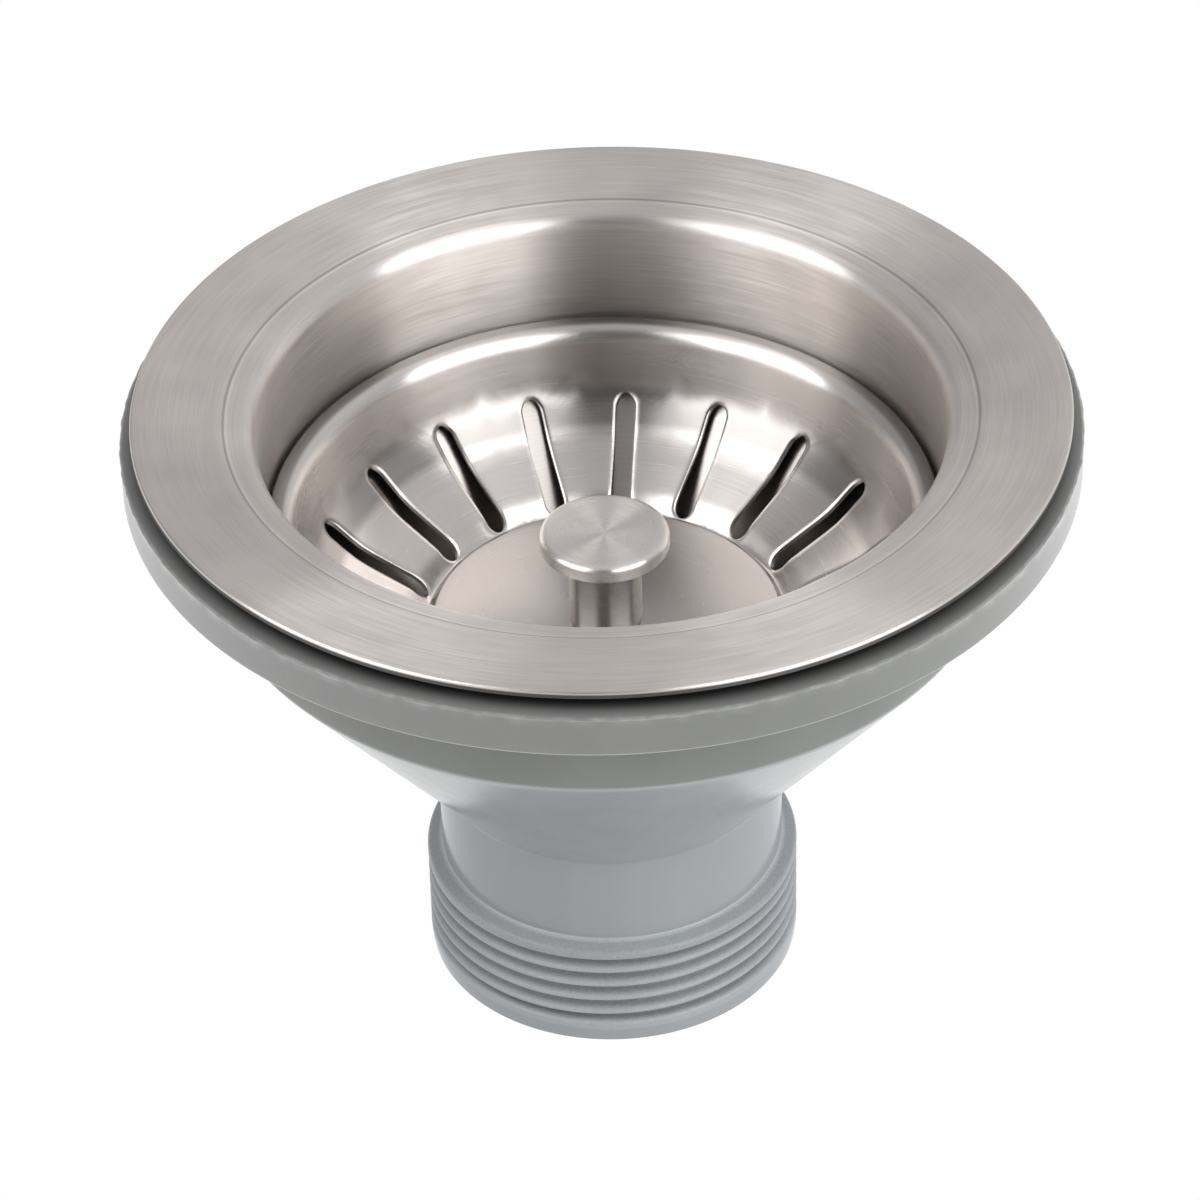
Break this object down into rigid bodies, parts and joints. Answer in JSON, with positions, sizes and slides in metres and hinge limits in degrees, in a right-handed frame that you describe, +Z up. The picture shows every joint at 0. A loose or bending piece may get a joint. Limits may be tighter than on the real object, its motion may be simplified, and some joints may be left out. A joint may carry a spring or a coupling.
{
  "type": "basket strainer waste",
  "caption": "Kitchen sink strainer waste: pressed steel bowl and flange, lift-out slotted basket with knob and stopper, thick gasket and a grey plastic cone with a threaded outlet collar.",
  "frame": {"origin": "centre of the outlet's lower end, on the axis of the waste", "axes": "+Z up along the axis from the outlet to the flange, +X to the right and -Y towards the viewer of the picture"},
  "size_m": [0.1178, 0.1178, 0.0833],
  "materials": {
    "bowl_steel": "satin",
    "basket_steel": "satin",
    "knob_steel": "polished",
    "fixing_steel": "plain",
    "nut_brass": "plain",
    "seal_rubber": "matt",
    "gasket_rubber": "matt",
    "stopper_rubber": "matt",
    "body_plastic": "semi-gloss"
  },
  "bodies": {
    "waste": {"strainer_bowl": "bowl_steel", "flange_seal": "seal_rubber", "sink_gasket": "gasket_rubber", "waste_body": "body_plastic", "clamp_screw": "fixing_steel", "screw_washer": "fixing_steel", "insert_nut": "nut_brass"},
    "basket_group": {"basket": "basket_steel", "basket_stem": "knob_steel", "knob": "knob_steel", "stopper": "stopper_rubber", "stopper_retainer": "fixing_steel", "locating_spigot": "fixing_steel", "spigot_ring": "stopper_rubber"}
  },
  "joints": [
    {"name": "basket_lift", "type": "slide", "parent": "waste", "child": "basket_group", "axis": [0, 0, 1], "range_m": [0, 0.06]}
  ]
}
